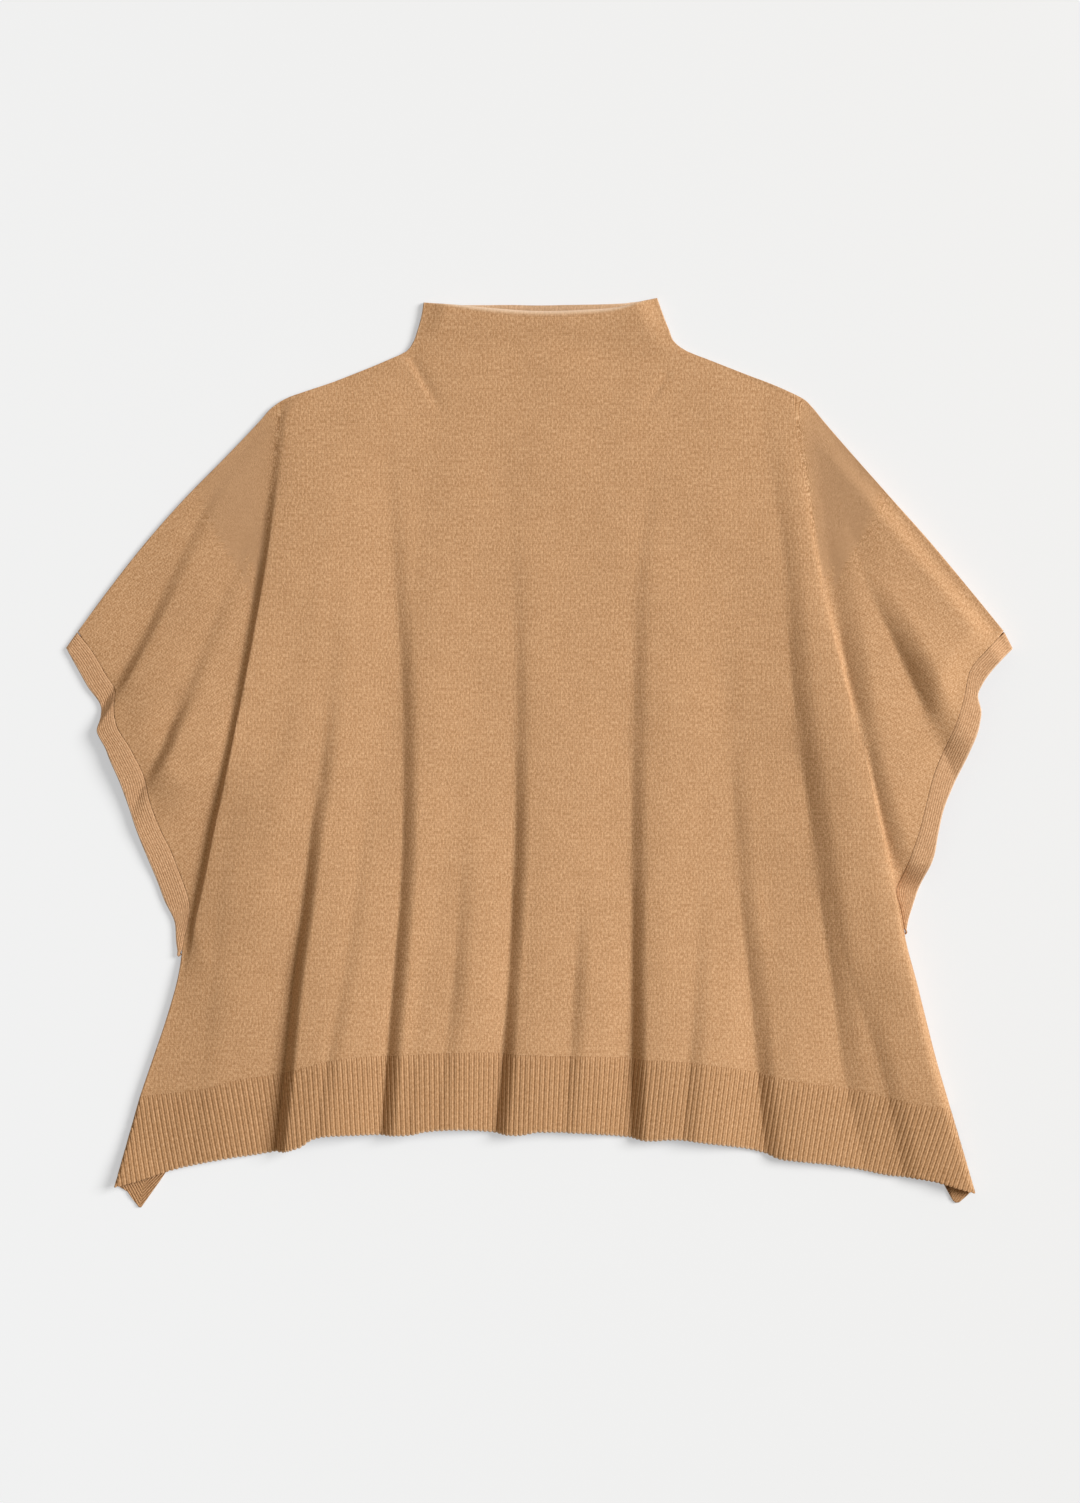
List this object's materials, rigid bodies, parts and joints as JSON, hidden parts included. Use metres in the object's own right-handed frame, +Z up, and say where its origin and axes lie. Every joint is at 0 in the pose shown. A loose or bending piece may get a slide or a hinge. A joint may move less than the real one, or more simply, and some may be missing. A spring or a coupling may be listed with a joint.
{
  "type": "knitted poncho sweater",
  "caption": "Knitted poncho sweater laid flat, front up: wide body with soft lengthwise folds, grown-on funnel neck, wide short sleeves with armhole bands and a ribbed hem.",
  "frame": {"origin": "centre of the laid garment's bounding box in plan, on the surface that it lies on", "axes": "+X to the right of the garment as seen from above with its front up, +Y from the hem towards the neck, +Z up off the surface"},
  "size_m": [0.8329, 0.7981, 0.0183],
  "materials": {
    "knit": "fine camel-coloured stockinette knit, soft and slightly fuzzy",
    "rib": "camel-coloured knit in one-by-one rib, matt",
    "band": "camel-coloured fine knit band with lengthwise wales, matt"
  },
  "bodies": {
    "root": {"front_panel": "knit", "back_panel": "knit", "front_hem": "rib", "back_hem": "rib", "left_cuff": "band", "right_cuff": "band"}
  },
  "joints": []
}
